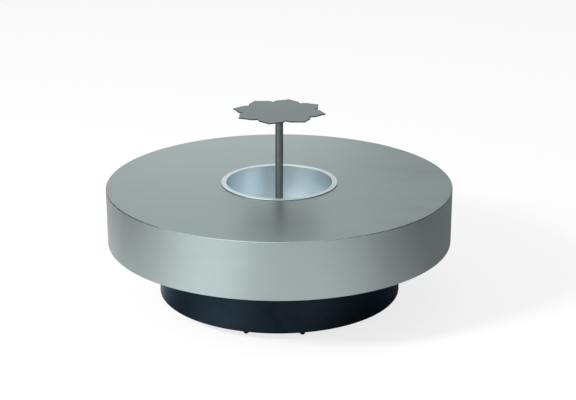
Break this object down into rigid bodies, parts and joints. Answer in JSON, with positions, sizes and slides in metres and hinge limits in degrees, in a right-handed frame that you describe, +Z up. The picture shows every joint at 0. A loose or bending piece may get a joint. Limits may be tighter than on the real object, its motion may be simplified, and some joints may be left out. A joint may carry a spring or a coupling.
{
  "type": "round coffee table",
  "caption": "Round drum coffee table in brushed steel on a dark recessed plinth, with a lift-out ice bowl and a turning flower-shaped drinks tray on a post.",
  "frame": {"origin": "on the floor, under the middle of the table", "axes": "+Z up along the table's axis, -Y towards the front, +X to the right seen from the front"},
  "size_m": [1.1, 1.1, 0.617],
  "materials": {
    "brushed_steel": "straight brushed, satin, slightly green-grey",
    "polished_steel": "polished",
    "dark_steel": "dark satin",
    "zinc_steel": "zinc plated",
    "plinth_lacquer": "satin blue-black lacquer on bent board",
    "pressed_board": "raw pressed board",
    "bent_board": "raw bent plywood",
    "black_board": "black painted board",
    "black_rubber": "matt",
    "white_nylon": "turned nylon"
  },
  "bodies": {
    "table": {"top_skin": "brushed_steel", "side_skin": "brushed_steel", "top_board": "pressed_board", "drum_bottom_board": "black_board", "side_hoop": "bent_board", "well_hoop": "bent_board", "drum_rib_1": "pressed_board", "drum_rib_2": "pressed_board", "drum_rib_3": "pressed_board", "drum_rib_4": "pressed_board", "drum_rib_5": "pressed_board", "drum_rib_6": "pressed_board", "drum_rib_7": "pressed_board", "drum_rib_8": "pressed_board", "plinth_hoop": "plinth_lacquer", "plinth_top_board": "black_board", "foot_ring": "black_board", "foot_01": "black_rubber", "foot_02": "black_rubber", "foot_03": "black_rubber", "foot_04": "black_rubber", "foot_05": "black_rubber", "foot_06": "black_rubber", "foot_07": "black_rubber", "foot_08": "black_rubber", "foot_09": "black_rubber", "foot_10": "black_rubber", "foot_11": "black_rubber", "foot_12": "black_rubber", "drum_bolt_1": "zinc_steel", "drum_bolt_2": "zinc_steel", "drum_bolt_3": "zinc_steel", "drum_bolt_4": "zinc_steel", "drum_bolt_insert_1": "zinc_steel", "drum_bolt_insert_2": "zinc_steel", "drum_bolt_insert_3": "zinc_steel", "drum_bolt_insert_4": "zinc_steel", "drum_bolt_washer_1": "zinc_steel", "drum_bolt_washer_2": "zinc_steel", "drum_bolt_washer_3": "zinc_steel", "drum_bolt_washer_4": "zinc_steel"},
    "ice_bowl": {"ice_bowl": "polished_steel", "bowl_seal_ring": "black_rubber", "post_socket": "polished_steel"},
    "turning_sleeve": {"turning_sleeve": "white_nylon"},
    "drinks_stand": {"post_tube": "dark_steel", "post_plug": "white_nylon", "tray_hub": "brushed_steel", "flower_tray": "brushed_steel", "hub_screw_1": "zinc_steel", "hub_screw_2": "zinc_steel", "hub_screw_3": "zinc_steel"}
  },
  "joints": [
    {"name": "bowl_lift", "type": "slide", "parent": "table", "child": "ice_bowl", "axis": [0, 0, 1], "range_m": [0, 0.15]},
    {"name": "stand_turn", "type": "hinge", "parent": "ice_bowl", "child": "turning_sleeve", "pos_m": [0, 0, 0.2543], "axis": [0, 0, 1], "continuous": true},
    {"name": "stand_lift", "type": "slide", "parent": "turning_sleeve", "child": "drinks_stand", "axis": [0, 0, 1], "range_m": [0, 0.15]}
  ]
}
